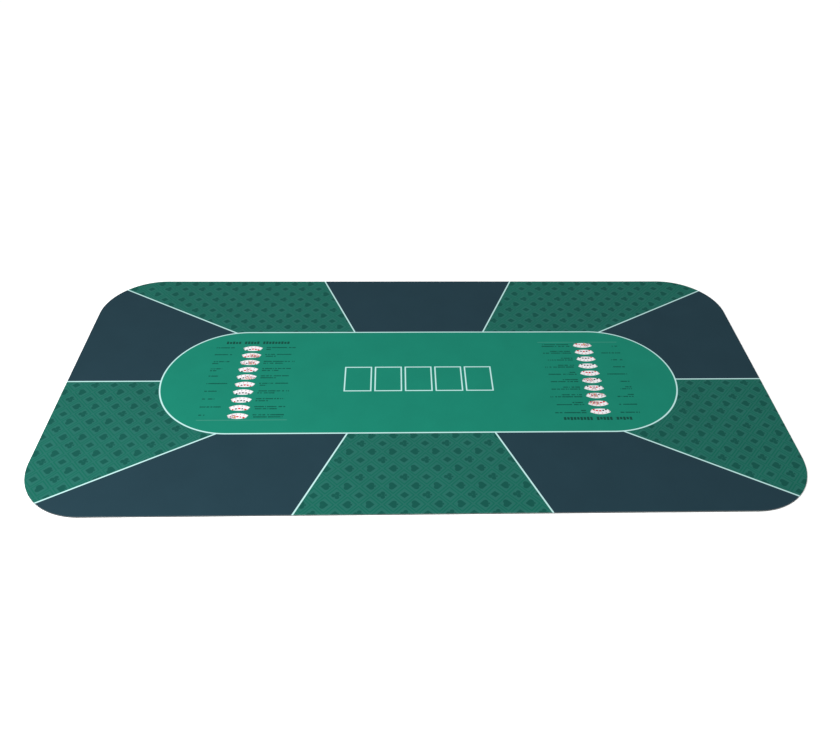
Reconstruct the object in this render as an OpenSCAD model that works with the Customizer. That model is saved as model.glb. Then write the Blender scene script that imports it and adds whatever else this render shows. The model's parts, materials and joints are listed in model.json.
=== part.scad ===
// Roll-out poker mat: one cut sheet of printed cloth on foamed rubber, 1.8 x 0.9 m, that folds in thirds.
// The sheet lies face up on Z = 0, with X along its length, Y towards its rear edge and the origin under its centre.
// Each layer is drawn as three thirds, which meet at the two lines where the sheet bends when it is folded.

/* [Mat] */
// Length of the mat from end to end, in mm
mat_l = 1800; // [1200:10:2400]
// Width of the mat from front edge to rear edge
mat_w = 900; // [600:10:1200]
// Radius of the four rounded corners
corner_r = 160; // [60:5:280]

/* [Layers] */
// Thickness of the printed polyester cloth
cloth_t = 0.4; // [0.3:0.05:0.8]
// Thickness of the hot-melt film that glues the cloth to the rubber
film_t = 0.1; // [0.05:0.05:0.2]
// Thickness of the foamed rubber base
rubber_t = 2.5; // [1.5:0.1:5]

/* [Folding] */
// Slit between neighbouring thirds, which stands for the bend of the uncut sheet
fold_slit = 0.2; // [0.1:0.05:0.5]

/* [Hidden] */

$fn = 96;

// The three thirds, counted along X
LEFT = -1;
MIDDLE = 0;
RIGHT = 1;
third_l = mat_l / 3;

// Heights at which the layers start
film_z = rubber_t;
cloth_z = film_z + film_t;

rubber_colour = [0.09, 0.09, 0.09];
film_colour = [0.78, 0.78, 0.70];
cloth_colours = [[0.18, 0.29, 0.32], [0.12, 0.51, 0.43], [0.15, 0.44, 0.38]];

// The cut outline of the whole mat: a cross of two rectangles, closed by a round disc in each corner
module mat_outline() {
    square([mat_l - 2 * corner_r, mat_w], center = true);
    square([mat_l, mat_w - 2 * corner_r], center = true);
    for (x = [-1, 1], y = [-1, 1])
        translate([x * (mat_l / 2 - corner_r), y * (mat_w / 2 - corner_r)])
            circle(r = corner_r);
}

// The outline with a slit along each of the two fold lines
module slit_outline() {
    difference() {
        mat_outline();
        for (side = [LEFT, RIGHT])
            translate([side * third_l / 2, 0])
                square([fold_slit, mat_w], center = true);
    }
}

// One third of that outline
module third_outline(third) {
    intersection() {
        slit_outline();
        translate([third * third_l, 0])
            square([third_l, mat_w], center = true);
    }
}

// One layer of one third
module layer(third, z, thickness) {
    translate([0, 0, z])
        linear_extrude(height = thickness)
            third_outline(third);
}

// Foamed rubber with its anti-slip skin down: it gives the mat its weight and its grip on the table
module rubber_base(third) {
    color(rubber_colour)
        layer(third, 0, rubber_t);
}

// Hot-melt film, laid over the whole sheet and pressed with heat
module bond_film(third) {
    color(film_colour)
        layer(third, film_z, film_t);
}

// Knitted polyester with the playing surface dyed into it
module printed_cloth(third) {
    color(cloth_colours[third + 1])
        layer(third, cloth_z, cloth_t);
}

rubber_base(LEFT);  // rubber_left
rubber_base(MIDDLE);  // rubber_middle
rubber_base(RIGHT);  // rubber_right
bond_film(LEFT);  // film_left
bond_film(MIDDLE);  // film_middle
bond_film(RIGHT);  // film_right
printed_cloth(LEFT);  // cloth_left
printed_cloth(MIDDLE);  // cloth_middle
printed_cloth(RIGHT);  // cloth_right
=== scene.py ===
import json
from math import cos, hypot, pi, radians, sin

import bmesh
import bpy
import numpy as np
from mathutils import Matrix, Vector


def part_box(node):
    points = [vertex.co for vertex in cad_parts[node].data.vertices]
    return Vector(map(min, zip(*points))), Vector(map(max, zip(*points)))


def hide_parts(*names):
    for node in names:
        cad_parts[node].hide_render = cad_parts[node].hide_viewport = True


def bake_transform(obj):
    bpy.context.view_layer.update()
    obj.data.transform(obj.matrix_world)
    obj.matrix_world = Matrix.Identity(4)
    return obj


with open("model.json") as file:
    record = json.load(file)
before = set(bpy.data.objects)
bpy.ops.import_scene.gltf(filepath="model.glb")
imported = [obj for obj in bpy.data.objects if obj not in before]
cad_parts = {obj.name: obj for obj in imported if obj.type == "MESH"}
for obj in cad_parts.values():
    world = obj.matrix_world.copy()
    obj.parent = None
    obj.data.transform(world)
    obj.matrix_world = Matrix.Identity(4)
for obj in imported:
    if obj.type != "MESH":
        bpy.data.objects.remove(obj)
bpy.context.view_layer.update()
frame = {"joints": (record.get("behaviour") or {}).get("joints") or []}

# ---------------------------------------------------------------------------------------------
# Studio: a pale table top under the mat, an even white room and one soft light from the front
# left. The camera stands in front of the mat, a little left of its middle, and looks down on it.
# Everything here is scenery, and only the floor is a mesh.
# ---------------------------------------------------------------------------------------------

half_l, half_w, top_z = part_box("cloth_right")[1]

scene = bpy.context.scene
scene.view_settings.view_transform = "Standard"

camera_data = bpy.data.cameras.new("product_camera")
camera_data.sensor_width = 36
camera_data.lens = 33.87
camera = bpy.data.objects.new("product_camera", camera_data)
scene.collection.objects.link(camera)
eye = Vector((-0.058, -1.556, top_z + 1.346))
heading, look_down, roll = radians(2.31), radians(40.38), radians(1.27)
camera.matrix_world = (
    Matrix.Translation(eye)
    @ Matrix.Rotation(-heading, 4, "Z")
    @ Matrix.Rotation(pi / 2 - look_down, 4, "X")
    @ Matrix.Rotation(roll, 4, "Z")
)
scene.camera = camera


def soft_light(name, place, aim, size, watts):
    """A square area light at place that faces aim."""
    data = bpy.data.lights.new(name, "AREA")
    data.size = size
    data.energy = watts
    light = bpy.data.objects.new(name, data)
    scene.collection.objects.link(light)
    light.location = place
    light.rotation_euler = (Vector(aim) - Vector(place)).to_track_quat("-Z", "Y").to_euler()


soft_light("key_softbox", place=(-1.3, -1.6, 1.3), aim=(-0.2, -0.1, 0), size=1.2, watts=54)

world = bpy.data.worlds.new("white_room")
scene.world = world
world.use_nodes = True
white_room = world.node_tree.nodes["Background"].inputs
white_room["Color"].default_value = (1, 1, 1, 1)
white_room["Strength"].default_value = 1.0


class Tone:
    """A value in a material's nodes. Sums on it add Math nodes, and add() makes any other node.
    The first Tone of a material stands for its tree and has no value of its own."""

    def __init__(self, tree, socket=None):
        self.tree = tree
        self.socket = socket

    def add(self, kind, settings=None, sockets=None, out=0):
        """A new node of this kind, with its settings and the numbers or links of its sockets."""
        node = self.tree.nodes.new(kind)
        for name, setting in (settings or {}).items():
            setattr(node, name, setting)
        for name, value in (sockets or {}).items():
            if isinstance(value, Tone):
                self.tree.links.new(value.socket, node.inputs[name])
            else:
                node.inputs[name].default_value = value
        return Tone(self.tree, node.outputs[out] if node.outputs else None)

    def colour(self, rgba):
        paint = self.add("ShaderNodeRGB")
        paint.socket.default_value = rgba
        return paint

    def axis(self, index):
        return self.add("ShaderNodeSeparateXYZ", None, {0: self}, out=index)

    def math(self, operation, *others, clamp=False):
        settings = {"operation": operation, "use_clamp": clamp}
        return self.add("ShaderNodeMath", settings, dict(enumerate((self, *others))))

    def __add__(self, other): return self.math("ADD", other)
    def __sub__(self, other): return self.math("SUBTRACT", other)
    def __rsub__(self, other): return self.math("MULTIPLY", -1.0) + other
    def __mul__(self, other): return self.math("MULTIPLY", other)
    def __rmul__(self, other): return self.math("MULTIPLY", other)
    def __truediv__(self, other): return self.math("DIVIDE", other)
    def __abs__(self): return self.math("ABSOLUTE")

    def lower(self, other): return self.math("MINIMUM", other)
    def higher(self, other): return self.math("MAXIMUM", other)
    def whole(self): return self.math("ROUND")
    def part(self): return self.math("FRACT")
    def away(self, other): return (self * self + other * other).math("SQRT")

    def mixed(self, share, other, blend="MIX"):
        """This colour, turned into the other one by share. A colour may be a tuple."""
        settings = {"data_type": "RGBA", "blend_type": blend}
        return self.add("ShaderNodeMix", settings, {0: share, 6: self, 7: other}, out=2)


def new_material(name):
    """A material with an empty tree, whose output node finish_with() adds."""
    material = bpy.data.materials.new(name)
    material.use_nodes = True
    material.node_tree.nodes.clear()
    return material, Tone(material.node_tree)


def finish_with(tree, shader):
    """Links the shader to the material's output."""
    tree.add("ShaderNodeOutputMaterial", None, {"Surface": shader})


def floor_material():
    material, tree = new_material("pale_floor")
    place = tree.add("ShaderNodeTexCoord", out=3)
    grain = tree.add("ShaderNodeTexNoise", None, {"Vector": place, "Scale": 3.0}, out=0)
    shade = tree.colour((0.97, 0.97, 0.97, 1)).mixed(grain * 0.3, (0.95, 0.95, 0.95, 1))
    shader = tree.add("ShaderNodeBsdfPrincipled", None, {
        "Base Color": shade, "Roughness": 0.7,
        "Emission Color": (1, 1, 1, 1), "Emission Strength": 0.05,
    })
    finish_with(tree, shader)
    return material


floor_reach, floor_z = 14, -0.0001
floor_corners = [
    (x * floor_reach, y * floor_reach, floor_z) for x, y in ((-1, -1), (1, -1), (1, 1), (-1, 1))
]
floor_mesh = bpy.data.meshes.new("floor")
floor_mesh.from_pydata(floor_corners, [], [(0, 1, 2, 3)])
floor_mesh.materials.append(floor_material())
floor = bpy.data.objects.new("floor", floor_mesh)
scene.collection.objects.link(floor)

# ---------------------------------------------------------------------------------------------
# Rubber base: black foamed rubber, 2.5 mm thick, calendered as a roll and die-cut with the
# cloth already on it. Its underside is embossed with low lozenges that grip the table.
# It is one sheet, drawn as two halves that meet under the middle, each with its own fold line.
# ---------------------------------------------------------------------------------------------

corner_r = 0.160
fold_hinge = {joint["child"]: Vector(joint["pos_m"]) for joint in frame["joints"]}
halves = (("left_flap", "left"), ("right_flap", "right"))
bend_share = 0.9
sharp_angle = radians(40)


def columns(flap):
    """(x, half width) of the lines across one half, from its end to the middle of the mat.
    They follow the round corner by angle and crowd together where the sheet bends."""
    corner_steps, bend_steps, flat_step = 20, 22, 0.018
    hinge = fold_hinge[flap]
    fold_x, bend = abs(hinge.x), bend_share * hinge.z
    out = []
    for k in range(corner_steps):
        turn = pi / 2 * k / corner_steps
        x = half_l - corner_r + corner_r * cos(turn)
        out.append((x, half_w - corner_r + corner_r * sin(turn)))
    stops = [half_l - corner_r, fold_x + bend, fold_x - bend, 0]
    for far, near in zip(stops, stops[1:]):
        steps = bend_steps if near == fold_x - bend else round((far - near) / flat_step)
        out += [(far + (near - far) * k / steps, half_w) for k in range(steps)]
    out.append((0, half_w))
    side = 1 if hinge.x > 0 else -1
    return [(side * x, w) for x, w in out]


def ripple(x, y):
    """Height of the faint waves that a sheet keeps from having been rolled up."""
    long_wave = sin(7.3 * x + 1.1 * sin(2.9 * y + 0.4))
    short_wave = sin(15.1 * x - 3.3 * y + 1.7) * sin(5.3 * y + 0.6)
    return 0.00012 * long_wave + 0.00008 * short_wave


def half_slab(name, flap, low, high, rounded=0.0002):
    """One half of a layer as a closed slab between two heights, with its cut edges eased."""
    rows = 50
    lines = columns(flap)
    across = [2 * k / rows - 1 for k in range(rows + 1)]
    plan = [(x, w * t) for x, w in lines for t in across]
    count = len(plan)
    points = [(x, y, z + ripple(x, y)) for z in (low, high) for x, y in plan]
    low_face = []
    for i in range(len(lines) - 1):
        for k in range(rows):
            a = i * (rows + 1) + k
            low_face.append((a, a + 1, a + rows + 2, a + rows + 1))
    rim = list(range(rows + 1))
    rim += [i * (rows + 1) + rows for i in range(1, len(lines))]
    rim += [count - 1 - k for k in range(1, rows + 1)]
    rim += [i * (rows + 1) for i in range(len(lines) - 2, 0, -1)]
    faces = [tuple(p + count for p in quad) for quad in low_face]
    faces += [tuple(reversed(quad)) for quad in low_face]
    faces += [(a, b, b + count, a + count) for a, b in zip(rim[1:] + rim[:1], rim)]
    mesh = bpy.data.meshes.new(name)
    mesh.from_pydata(points, [], faces)
    work = bmesh.new()
    work.from_mesh(mesh)
    bmesh.ops.recalc_face_normals(work, faces=work.faces)
    on_middle_line = 0.001
    cut_edges = [
        edge for edge in work.edges
        if len(edge.link_faces) == 2 and edge.calc_face_angle() > 1
        and max(abs(v.co.x) for v in edge.verts) > on_middle_line
    ]
    bmesh.ops.bevel(work, geom=cut_edges, offset=rounded, segments=2, affect="EDGES")
    for face in work.faces:
        face.smooth = True
    work.to_mesh(mesh)
    work.free()
    mesh.set_sharp_from_angle(angle=sharp_angle)
    piece = bpy.data.objects.new(name, mesh)
    scene.collection.objects.link(piece)
    return piece


def remember_flat(piece):
    """Stores each point's place on the flat sheet, so that its print stays on it in a fold."""
    mesh = piece.data
    place = np.zeros(3 * len(mesh.vertices), np.float32)
    mesh.vertices.foreach_get("co", place)
    mesh.attributes.new("laid_flat", "FLOAT_VECTOR", "POINT").data.foreach_set("vector", place)


def bend_with(piece, flap, layer):
    """Applies a half layer's transform and hides the middle and flap CAD solids that it stands
    for.
    """
    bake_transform(piece)
    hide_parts(layer + "_middle", layer + "_" + flap.split("_")[0])


rubber_low, rubber_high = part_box("rubber_middle")
emboss = 0.00035
rubber_material, tree = new_material("foamed_rubber")
flat = tree.add("ShaderNodeAttribute", {"attribute_name": "laid_flat"}, out=1)
bloom = tree.add("ShaderNodeTexNoise", None, {"Vector": flat, "Scale": 9.0, "Detail": 4.0}, out=0)
pores = tree.add("ShaderNodeTexVoronoi", None, {"Vector": flat, "Scale": 900.0}, out=0)
black = tree.colour((0.013, 0.0135, 0.014, 1))
rubber_colour = black.mixed(bloom * bloom, (0.028, 0.029, 0.030, 1))
rubber_bump = tree.add(
    "ShaderNodeBump", None, {"Height": pores, "Strength": 0.25, "Distance": 0.0004}
)
finish_with(tree, tree.add("ShaderNodeBsdfPrincipled", None, {
    "Base Color": rubber_colour, "Roughness": bloom * 0.2 + 0.62, "Normal": rubber_bump,
    "Specular IOR Level": 0.35,
}))


class Shape:
    """A geometry tree being built. Its nodes are linked as they are made."""

    def __init__(self, name, sizes):
        self.tree = bpy.data.node_groups.new(name, "GeometryNodeTree")
        face = self.tree.interface
        face.new_socket("Geometry", in_out="INPUT", socket_type="NodeSocketGeometry")
        face.new_socket("Geometry", in_out="OUTPUT", socket_type="NodeSocketGeometry")
        face.new_socket("Material", in_out="INPUT", socket_type="NodeSocketMaterial")
        for size in sizes:
            face.new_socket(size, in_out="INPUT", socket_type="NodeSocketFloat")
        self.given = self.tree.nodes.new("NodeGroupInput").outputs

    def add(self, kind, sockets, settings=None, out=0):
        node = self.tree.nodes.new(kind)
        for name, setting in (settings or {}).items():
            setattr(node, name, setting)
        for name, value in sockets.items():
            if isinstance(value, bpy.types.NodeSocket):
                self.tree.links.new(value, node.inputs[name])
            else:
                node.inputs[name].default_value = value
        return node.outputs[out] if node.outputs else None

    def math(self, operation, a, b):
        return self.add("ShaderNodeMath", {0: a, 1: b}, {"operation": operation})

    def vector(self, x, y, z):
        return self.add("ShaderNodeCombineXYZ", {0: x, 1: y, 2: z})


def stud_tree():
    """Covers one half of the sheet with two interleaved grids of low four-sided studs. Each stud
    is a cut-off pyramid whose wide end is sunk into the sheet."""
    names = ["Pitch", "Stud Width", "Emboss", "Half Length", "Half Width", "Corner", "Side"]
    shape = Shape("lozenge_emboss", names)
    given, math = shape.given, shape.math
    pitch = given["Pitch"]
    across = math("DIVIDE", given["Half Length"], pitch)
    along = math("DIVIDE", math("MULTIPLY", given["Half Width"], 2), pitch)
    grids = []
    for shift in (-0.25, 0.25):
        count = {}
        for name, room in (("X", across), ("Y", along)):
            steps = math("FLOOR", room, 0)
            count[name] = math("ADD", steps, 1)
            count[name + " span"] = math("MULTIPLY", steps, pitch)
        grid = shape.add("GeometryNodeMeshGrid", {
            "Size X": count["X span"], "Size Y": count["Y span"],
            "Vertices X": count["X"], "Vertices Y": count["Y"],
        })
        centre = math("MULTIPLY", given["Half Length"], math("DIVIDE", given["Side"], 2))
        offset = math("MULTIPLY", pitch, shift)
        grids.append(shape.add("GeometryNodeTransform", {
            "Geometry": grid, "Translation": shape.vector(math("ADD", centre, offset), offset, 0),
        }))
    joined = shape.tree.nodes.new("GeometryNodeJoinGeometry")
    for grid in grids:
        shape.tree.links.new(grid, joined.inputs[0])
    place = shape.add("GeometryNodeInputPosition", {})
    inset = []
    for axis, half in ((0, given["Half Length"]), (1, given["Half Width"])):
        part = shape.add("ShaderNodeSeparateXYZ", {0: place}, out=axis)
        size = math("ABSOLUTE", part, 0)
        corner_at = math("SUBTRACT", half, given["Corner"])
        inset.append(math("MAXIMUM", math("SUBTRACT", size, corner_at), 0))
    edge_margin = 0.7
    reach = math("SQRT", math("ADD", math("POWER", inset[0], 2), math("POWER", inset[1], 2)), 0)
    limit = math("SUBTRACT", given["Corner"], math("MULTIPLY", given["Stud Width"], edge_margin))
    kept = shape.add("GeometryNodeDeleteGeometry", {
        "Geometry": joined.outputs[0], "Selection": math("GREATER_THAN", reach, limit),
    }, {"domain": "POINT"})
    foot_spread, sunk_depth = 1.3, 1.3
    half_stud = math("MULTIPLY", given["Stud Width"], 0.5)
    foot = math("MULTIPLY", half_stud, foot_spread)
    depth = math("MULTIPLY", given["Emboss"], sunk_depth)
    stud = shape.add("GeometryNodeMeshCone", {
        "Vertices": 4, "Radius Top": half_stud, "Radius Bottom": foot, "Depth": depth,
    })
    hung = shape.add("GeometryNodeTransform", {"Geometry": stud, "Rotation": (pi, 0, 0)})
    raised = shape.add("GeometryNodeTransform", {
        "Geometry": hung, "Translation": shape.vector(0, 0, depth),
    })
    studs = shape.add("GeometryNodeInstanceOnPoints", {"Points": kept, "Instance": raised})
    both = shape.tree.nodes.new("GeometryNodeJoinGeometry")
    for part in (studs, given["Geometry"]):
        shape.tree.links.new(part, both.inputs[0])
    real = shape.add("GeometryNodeRealizeInstances", {"Geometry": both.outputs[0]})
    dressed = shape.add("GeometryNodeSetMaterial", {
        "Geometry": real, "Material": given["Material"],
    })
    shape.add("NodeGroupOutput", {"Geometry": dressed})
    return shape.tree


def grown(piece, tree, sizes):
    """The piece as the tree makes it, baked to a plain mesh."""
    modifier = piece.modifiers.new(tree.name, "NODES")
    modifier.node_group = tree
    for item in tree.interface.items_tree:
        if item.in_out == "INPUT" and item.name in sizes:
            modifier[item.identifier] = sizes[item.name]
    shown = piece.evaluated_get(bpy.context.evaluated_depsgraph_get())
    baked = bpy.data.meshes.new_from_object(shown)
    piece.modifiers.remove(modifier)
    piece.data = baked
    baked.name = piece.name
    return baked


emboss_tree = stud_tree()
for flap, half in halves:
    piece = half_slab("rubber_base_" + half, flap, rubber_low.z + emboss, rubber_high.z)
    mesh = grown(piece, emboss_tree, {
        "Material": rubber_material, "Pitch": 0.0115, "Stud Width": 0.0074, "Emboss": emboss,
        "Half Length": half_l, "Half Width": half_w, "Corner": corner_r,
        "Side": 1.0 if half == "right" else -1.0,
    })
    mesh.set_sharp_from_angle(angle=sharp_angle)
    remember_flat(piece)
    bend_with(piece, flap, "rubber")

# ---------------------------------------------------------------------------------------------
# Bond film: a clear hot-melt web, 0.1 mm thick, between the cloth and the rubber. Heat and
# pressure glue it to both, and it shows only as a hairline in the cut edge.
# ---------------------------------------------------------------------------------------------

film_low, film_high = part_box("film_middle")
film_material, tree = new_material("hot_melt_film")
flat = tree.add("ShaderNodeAttribute", {"attribute_name": "laid_flat"}, out=1)
cloudy = tree.add("ShaderNodeTexNoise", None, {"Vector": flat, "Scale": 400.0}, out=0)
film_colour = tree.colour((0.52, 0.52, 0.46, 1)).mixed(cloudy, (0.40, 0.40, 0.36, 1))
finish_with(tree, tree.add("ShaderNodeBsdfPrincipled", None, {
    "Base Color": film_colour, "Roughness": 0.45,
}))
for flap, half in halves:
    piece = half_slab("bond_film_" + half, flap, film_low.z, film_high.z, rounded=0.00003)
    piece.data.materials.append(film_material)
    remember_flat(piece)
    bend_with(piece, flap, "film")

# ---------------------------------------------------------------------------------------------
# Printed cloth: a smooth polyester knit, 0.4 mm thick, with the playing surface dyed into it
# by heat: ten player segments round a green betting oval, five card boxes and two ranking
# charts. It is bonded to the rubber before the mat is die-cut, so its edge is flush and raw.
# ---------------------------------------------------------------------------------------------

cloth_low, cloth_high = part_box("cloth_middle")
ink_bleed = 0.0008
pale_ink = (0.370, 0.575, 0.560, 1)
oval_green = (0.0070, 0.156, 0.105, 1)
suit_green = (0.0138, 0.100, 0.0790, 1)
lattice_green = (0.0048, 0.090, 0.0620, 1)
suit_dark = (0.0054, 0.0635, 0.0490, 1)
navy = (0.0123, 0.0322, 0.0438, 1)
undyed = (0.45, 0.48, 0.47, 1)


def ink(distance, bleed=ink_bleed):
    """How much dye lies at this distance from a shape's edge: 1 inside it, 0 outside."""
    return distance.math("MULTIPLY_ADD", -1 / bleed, 0.5, clamp=True)


def past_line(x, y, a, b):
    """Distance from the line through a and b, positive to its right as seen from a."""
    length = hypot(b[0] - a[0], b[1] - a[1])
    across = ((b[1] - a[1]) / length, (a[0] - b[0]) / length)
    return x * across[0] + y * across[1] - (a[0] * across[0] + a[1] * across[1])


def heart(x, y):
    """Distance outside a heart of height 1 about the origin, where x is already positive.
    It is a square on its corner, of diagonal 1, with a round lobe on each upper side."""
    full_height, side_slope, lobe_r = 1.1036, 0.7071, 0.3536
    x, y = x * full_height, y * full_height + full_height / 2
    square = (x + abs(y - 0.5) - 0.5) * side_slope
    lobe = (x - 0.25).away(y - 0.75) - lobe_r
    return square.lower(lobe) / full_height


def stem(x, y):
    """The stem under a spade or a club, which flares towards its foot."""
    neck_y, half_neck, flare = -0.08, 0.045, 0.5
    middle_y, half_height = -0.27, 0.23
    below_neck = (y - neck_y).lower(0.0)
    side = x - half_neck - below_neck * below_neck * flare
    return side.higher(abs(y - middle_y) - half_height)


def spade(x, y):
    body_share = 0.86
    body = heart(x / body_share, (y - (1 - body_share) / 2) / -body_share) * body_share
    return body.lower(stem(x, y))


def club(x, y):
    lobe_r, top_y, side_x, side_y = 0.235, 0.265, 0.25, -0.1
    top = x.away(y - top_y) - lobe_r
    side = (x - side_x).away(y - side_y) - lobe_r
    return top.lower(side).lower(stem(x, y))


def diamond(x, y):
    half_width, half_height, to_distance = 0.43, 0.5, 0.325
    return (x / half_width + abs(y) / half_height - 1.0) * to_distance


def one_of_four(first, second, low, high):
    """low and high are pairs: first picks the pair and second picks the one of that pair."""
    a = low[0] + (low[1] - low[0]) * second
    b = high[0] + (high[1] - high[0]) * second
    return a + (b - a) * first


def suit_cloth(tree, x, y):
    """The player segments' ground: the four suits, lying on their sides, in a lozenge lattice.
    Each segment's artwork was placed on its own, so each has its own pitch and first club."""
    along, usual_across, glyph = 0.0533, 0.0495, 0.0195
    front = (0.0505, 0.0110, -0.2890)
    rear = y.math("GREATER_THAN", 0.0)
    right_half = x.math("GREATER_THAN", 0.0)
    end = abs(x).math("GREATER_THAN", 0.45) * (1.0 - rear)
    across, club_x, club_y = front
    for here, own in (
        (end * (1.0 - right_half), (0.0475, -0.7290, -0.1280)),
        (end * right_half, (0.0477, 0.7570, -0.1290)),
        (rear * (1.0 - right_half), (0.0493, -0.4840, 0.3560)),
        (rear * right_half, (0.0501, 0.4720, 0.3040)),
    ):
        across = here * (own[0] - front[0]) + across
        club_x = here * (own[1] - front[1]) + club_x
        club_y = here * (own[2] - front[2]) + club_y

    a = (x - club_x) / across
    b = (y - club_y) / along
    p, q = a + b, a - b
    p_cell, q_cell = p.whole(), q.whole()
    p_in, q_in = p - p_cell, q - q_cell
    p_odd, q_odd = (p_cell * 0.5).part() * 2.0, (q_cell * 0.5).part() * 2.0
    up = (p_in + q_in) * across * (-0.5 / glyph)
    right = abs((p_in - q_in) * (along / 2 / glyph))
    club_grown, spade_grown, diamond_grown = 0.90, 0.88, 0.92
    suits = one_of_four(
        p_odd, q_odd,
        (club(right * club_grown, up * club_grown), spade(right * spade_grown, up * spade_grown)),
        (heart(right, up), diamond(right * diamond_grown, up * diamond_grown)),
    )
    cell = 1 / hypot(1 / usual_across, 1 / along)
    to_border = (abs(p_in).higher(abs(q_in)) * -1.0 + 0.5) * cell
    band_middle, band_w, band_bleed = 0.0032, 0.0026, 0.0014
    band = ink(abs(to_border - band_middle) - band_w / 2, bleed=band_bleed)
    ground = tree.colour(suit_green)
    return ground.mixed(band, lattice_green).mixed(ink(suits * glyph), suit_dark)


def chance(tree, a, b, seed):
    """A draw between 0 and 1 that is fixed by its three numbers."""
    where = tree.add("ShaderNodeCombineXYZ", None, {0: a, 1: b, 2: seed})
    return tree.add("ShaderNodeTexWhiteNoise", None, {"Vector": where}, out=0)


def letters(tree, u, row, line, pitch, gaps=0.0, start=0.0):
    """Distance outside a run of blocks as wide as letters, and the draw that shapes each block.
    This share of the blocks is left out, as between words."""
    half_block = 0.36
    count = (u - start) / pitch
    shape = chance(tree, count.math("FLOOR"), row, line)
    block = abs(count.part() - 0.5) * pitch - pitch * half_block
    return block + shape.math("LESS_THAN", gaps) * pitch, shape


def chart_words(tree, u, rise, row):
    """Ink of a row's words: the name of the hand on the left and its notes on the right."""
    name_x, note_x = -0.0985, 0.0360
    letter_pitch, word_gaps = 0.0024, 0.16
    low_letter, letter_range = 0.0014, 0.0008
    words = None
    for line, cy, left, half_length in (
        (1.0, 0.0042, name_x, chance(tree, row, 1.0, 2.0) * 0.020 + 0.008),
        (2.0, -0.0034, name_x, chance(tree, row, 2.0, 5.0).math("GREATER_THAN", 0.6) * 0.008),
        (3.0, 0.0046, note_x, chance(tree, row, 3.0, 2.0) * 0.006 + 0.0350),
        (4.0, -0.0030, note_x, chance(tree, row, 4.0, 7.0) * 0.030 + 0.008),
    ):
        block, shape = letters(tree, u, row, line, letter_pitch, word_gaps)
        half_height = shape * letter_range + low_letter
        bar = (abs(u - left - half_length) - half_length).higher(abs(rise - cy) - half_height)
        dyed = ink(bar.higher(block))
        words = words.higher(dyed) if words else dyed
    return words


def chart_title(tree, u, v, row):
    """Ink of the chart's title, three words of large blocks."""
    middle_u, middle_v, half_length, half_height = 0.0106, 0.1530, 0.0850, 0.0060
    letter_pitch, first_letter = 0.0082, -0.0019
    block, shape = letters(tree, u, row, 5.0, letter_pitch, start=first_letter)
    tall = abs(v - middle_v + shape * 0.0008) - half_height + shape * 0.0018
    title = (abs(u - middle_u) - half_length).higher(tall)
    for gap_x, half_gap in ((-0.0304, 0.003), (0.0196, 0.0045)):
        title = title.higher(half_gap - abs(u - gap_x))
    return ink(title.higher(block))


def card_fan(tree, ground, u, rise, row):
    """Five cards fanned about a point below them, each with a suit mark or a court figure.
    Three of the rows hold cards of one suit."""
    fan_r, card_turn = 0.036, radians(13.4)
    above_pivot = rise + fan_r
    reach = u.away(above_pivot)
    angle = u.math("ARCTAN2", above_pivot)
    card = (angle / card_turn).whole().higher(-2.0).lower(2.0)
    off = angle - card * card_turn
    cx = reach * off.math("SINE")
    cy = reach * off.math("COSINE") - fan_r
    half_card, card_top, card_foot, card_r = 0.0060, 0.0105, 0.0160, 0.0014
    fan_foot, foot_curve = 0.0096, 7.0
    qx = (abs(cx) - (half_card - card_r)).higher(0.0)
    qy = (cy - (card_top - card_r)).higher(card_r - card_foot - cy).higher(0.0)
    edge = (qx.away(qy) - card_r).higher(-fan_foot - rise + u * u * foot_curve)

    one_suit = row.math("COMPARE", 0.0, 0.1) + row.math("COMPARE", 1.0, 0.1)
    one_suit = one_suit + row.math("COMPARE", 4.0, 0.1)
    draw = chance(tree, row, card * (1.0 - one_suit), 8.0)
    red = draw.math("LESS_THAN", 0.5)
    second = (draw * 2.0).part().math("LESS_THAN", 0.5)
    pip, pip_y, fine_bleed = 0.0060, -0.0022, 0.0005
    sx, sy = abs(cx) / pip, (cy - pip_y) / pip
    suits = one_of_four(
        red, second, (spade(sx, sy), club(sx, sy)), (heart(sx, sy), diamond(sx, sy))
    ) * pip
    index_x, index_y, index_size = -0.0036, 0.0070, 0.0024
    index = (abs(cx - index_x) - index_size / 3).higher(abs(cy - index_y) - index_size / 2)
    marks = ink(suits.lower(index), bleed=fine_bleed)
    suit_ink = tree.colour((0.012, 0.013, 0.016, 1)).mixed(red, (0.45, 0.010, 0.018, 1))
    face = tree.colour((0.64, 0.62, 0.64, 1)).mixed(marks, suit_ink)

    place = tree.add("ShaderNodeCombineXYZ", None, {0: cx, 1: cy, 2: draw})
    robes = tree.add("ShaderNodeTexVoronoi", {"feature": "F1"}, {
        "Vector": place, "Scale": 620.0,
    }, out=1).axis(0)
    yellow, blue = (0.55, 0.34, 0.03, 1), (0.02, 0.03, 0.12, 1)
    crimson, pale = (0.42, 0.012, 0.018, 1), (0.60, 0.56, 0.58, 1)
    figure = tree.colour(yellow)
    for share, dye in ((0.14, crimson), (0.34, pale), (0.80, blue)):
        figure = figure.mixed(robes.math("GREATER_THAN", share), dye)
    figure_half_w, figure_half_h, figure_y, court_share = 0.0040, 0.0068, -0.0010, 0.20
    inside = (abs(cx) - figure_half_w).higher(abs(cy - figure_y) - figure_half_h)
    court = (draw * 7.0).part().math("LESS_THAN", court_share) * ink(inside, bleed=fine_bleed)
    face = face.mixed(court, figure)

    to_next_card = (abs(off) * -1.0 + card_turn / 2) * fan_r
    crease = ink(to_next_card - 0.0003, bleed=0.0004) * (abs(card + off) * 10.0).lower(1.0)
    face = face.mixed(crease * 0.7, (0.20, 0.21, 0.22, 1))
    return ground.mixed(ink(edge), face)


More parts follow.
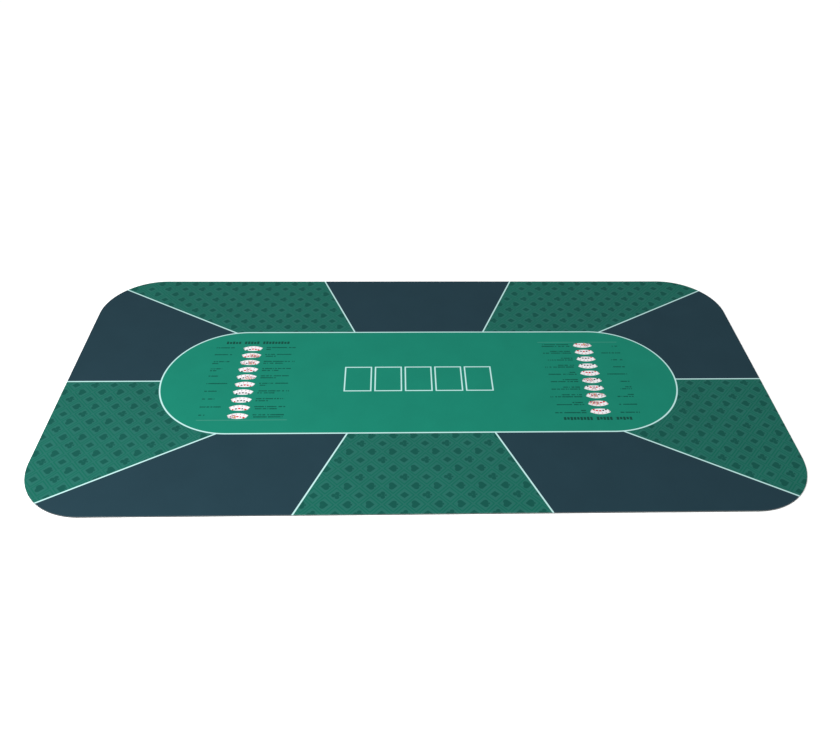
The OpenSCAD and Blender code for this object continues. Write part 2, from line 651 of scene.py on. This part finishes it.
def ranking_chart(tree, ground, x, y):
    """Ten rows of card fans with their names and notes, under a title and over a hairline. All
    words are blocks. The right-hand chart is the left-hand one turned about the mat's middle."""
    fan_x, first_row, row_pitch, last_row = 0.4495, 0.1270, 0.0294, 9.0
    u = fan_x - abs(x)
    v = x.math("SIGN") * y * -1.0
    n = (first_row - v) / row_pitch
    row = n.whole().higher(0.0).lower(last_row)
    rise = (row - n) * row_pitch
    word_dye, title_dye = (0.002, 0.028, 0.020, 1), (0.004, 0.012, 0.010, 1)
    ground = ground.mixed(chart_words(tree, u, rise, row) * 0.92, word_dye)
    ground = ground.mixed(chart_title(tree, u, v, row) * 0.74, title_dye)
    rule_x, rule_y, rule_half_l, rule_half_w = 0.012, -0.1515, 0.110, 0.0006
    rule = (abs(u - rule_x) - rule_half_l).higher(abs(v - rule_y) - rule_half_w)
    ground = ground.mixed(ink(rule) * 0.16, pale_ink)
    return card_fan(tree, ground, u, rise, row)


def printed_cloth_material():
    """The whole print. It lies a little off the middle of the cut sheet and slightly askew."""
    material, tree = new_material("printed_cloth")
    flat = tree.add("ShaderNodeAttribute", {"attribute_name": "laid_flat"}, out=1)
    x, y = flat.axis(0), flat.axis(1)
    askew, off_right, off_front, side_off_front = 0.010, 0.0055, 0.0015, 0.007
    print_x, print_y = x - y * askew - off_right, y + off_front
    side_y = y + side_off_front
    ax, ay = abs(print_x), abs(print_y)
    right, front, rear = (
        print_x.math("GREATER_THAN", 0.0),
        print_y.math("LESS_THAN", 0.0),
        print_y.math("GREATER_THAN", 0.0),
    )

    oval_r, oval_straight, longer_right = 0.1985, 0.468, 0.0024
    oval = (ax - oval_straight - right * longer_right).higher(0.0).away(print_y) - oval_r
    flare = (ay - 0.200) * (front * 0.017)
    middle_edge = past_line(ax, ay, (0.179, 0.200), (0.280, 0.450)) - flare
    corner_y = abs(print_y + rear * 0.004 + 0.0025)
    corner_edge = past_line(ax, corner_y, (0.500, 0.200), (0.845, 0.405))
    shoulder = ink(corner_edge) - ink(middle_edge)
    suit_part = abs(shoulder - ink(side_y))
    ground = tree.colour(navy).mixed(suit_part, suit_cloth(tree, x, y))

    chart_off_left = 0.0011
    inner = ranking_chart(tree, tree.colour(oval_green), print_x + chart_off_left, print_y)
    colour = ground.mixed(ink(oval), inner)

    line_w, card_line_w = 0.0037, 0.0034
    outside = (abs(middle_edge).lower(abs(corner_edge)) - line_w / 2).higher(-1.0 * oval)
    sides = (abs(side_y) - line_w / 2).higher(-1.0 * oval)
    lines = (abs(oval) - line_w / 2).lower(outside).lower(sides)
    box_pitch, box_w, box_h = 0.0784, 0.0677, 0.0933
    row_x, row_y = x - 0.001, y + 0.001
    box_x = row_x - (row_x / box_pitch).whole().higher(-2.0).lower(2.0) * box_pitch
    boxes = abs((abs(box_x) - box_w / 2).higher(abs(row_y) - box_h / 2)) - card_line_w / 2
    colour = colour.mixed(ink(lines.lower(boxes)), pale_ink)

    past_x = (abs(x) - (half_l - corner_r)).higher(0.0)
    past_y = (abs(y) - (half_w - corner_r)).higher(0.0)
    to_cut = past_x.away(past_y) * -1.0 + corner_r
    raw_rim, rim_share = 0.0005, 0.30
    colour = colour.mixed(ink(to_cut - raw_rim) * rim_share, undyed)

    blotches = {"Vector": flat, "Scale": 11.0, "Detail": 5.0}
    uneven = tree.add("ShaderNodeTexNoise", None, blotches, out=0)
    knit = {"Vector": flat, "Scale": 1100.0, "Detail": 2.0}
    fibres = tree.add("ShaderNodeTexNoise", None, knit, out=0)
    depth = uneven * 0.18 + fibres * 0.10 + 0.86
    depth_of_dye = tree.add("ShaderNodeCombineXYZ", None, {0: depth, 1: depth, 2: depth})
    colour = colour.mixed(1.0, depth_of_dye, "MULTIPLY")
    bump = tree.add(
        "ShaderNodeBump", None, {"Height": fibres, "Strength": 0.3, "Distance": 0.0003}
    )
    finish_with(tree, tree.add("ShaderNodeBsdfPrincipled", None, {
        "Base Color": colour, "Roughness": fibres * 0.12 + 0.80, "Normal": bump,
        "Specular IOR Level": 0.02, "Sheen Weight": 0.01, "Sheen Roughness": 0.5,
    }))
    return material


cloth_material = printed_cloth_material()
for flap, half in halves:
    piece = half_slab("printed_cloth_" + half, flap, cloth_low.z, cloth_high.z, rounded=0.00012)
    piece.data.materials.append(cloth_material)
    remember_flat(piece)
    bend_with(piece, flap, "cloth")
